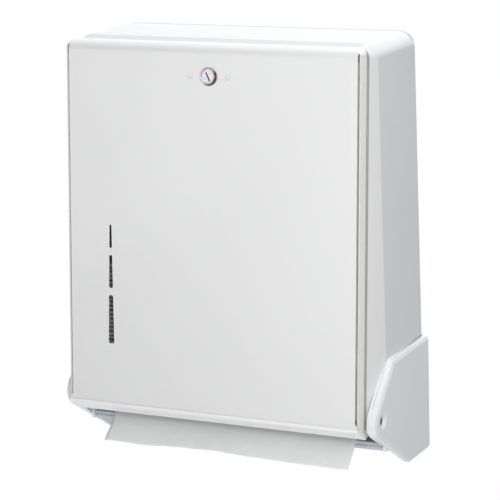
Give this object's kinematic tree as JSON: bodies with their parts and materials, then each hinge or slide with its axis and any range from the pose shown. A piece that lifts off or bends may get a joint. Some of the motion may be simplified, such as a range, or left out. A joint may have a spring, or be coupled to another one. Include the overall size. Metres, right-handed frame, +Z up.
{
  "type": "paper towel dispenser",
  "caption": "Wall-hung lockable cabinet for folded paper towels, with a drop-down steel front, a level window, a key lock and a towel hanging from the slot below.",
  "frame": {"origin": "centre of the four wall-screw holes, on the cabinet's flat back face", "axes": "+Z up the wall, -Y out of the wall towards the user, +Y into the wall, +X to the viewer's right"},
  "size_m": [0.2984, 0.1321, 0.3683],
  "materials": {
    "white_enamel": "glossy white enamel on steel",
    "cabinet_white": "smooth moulded white, slightly cool",
    "rail_cream": "smooth moulded off-white",
    "sill_white": "smooth moulded white, a little glossier than the rails",
    "cheek_white": "smooth moulded white",
    "tray_steel": "pale blue-grey enamel",
    "lock_chrome": "bright plated",
    "zinc": "zinc plated",
    "dark_pin": "blackened steel",
    "acetal": "natural bearing plastic",
    "towel_paper": "soft embossed tissue paper"
  },
  "bodies": {
    "cabinet": {"cabinet_body": "cabinet_white", "towel_tray": "tray_steel", "tray_rivets": "zinc", "right_cheek_cover": "cheek_white", "left_cheek_cover": "cheek_white", "right_hinge_bracket": "cheek_white", "left_hinge_bracket": "cheek_white", "right_hinge_pin": "dark_pin", "left_hinge_pin": "dark_pin", "hinge_clips": "zinc", "cheek_screws": "zinc", "lock_strike": "zinc", "strike_screws": "zinc", "towel_stack": "towel_paper", "hanging_towel": "towel_paper"},
    "door": {"front_panel": "white_enamel", "right_door_rail": "rail_cream", "left_door_rail": "rail_cream", "rail_nuts": "zinc", "door_chin": "sill_white", "hinge_bushes": "acetal", "lock_bracket": "zinc", "lock_barrel": "lock_chrome", "lock_nut": "zinc"},
    "lock": {"lock_plug": "lock_chrome", "lock_cam": "zinc", "cam_screw": "zinc"}
  },
  "joints": [
    {"name": "door_hinge", "type": "hinge", "parent": "cabinet", "child": "door", "pos_m": [0, -0.1044, -0.1457], "axis": [1, 0, 0], "range_deg": [0, 90]},
    {"name": "lock_turn", "type": "hinge", "parent": "door", "child": "lock", "pos_m": [0, -0.11109, 0.1403], "axis": [0, -0.9976, 0.0698], "range_deg": [0, 90]}
  ]
}
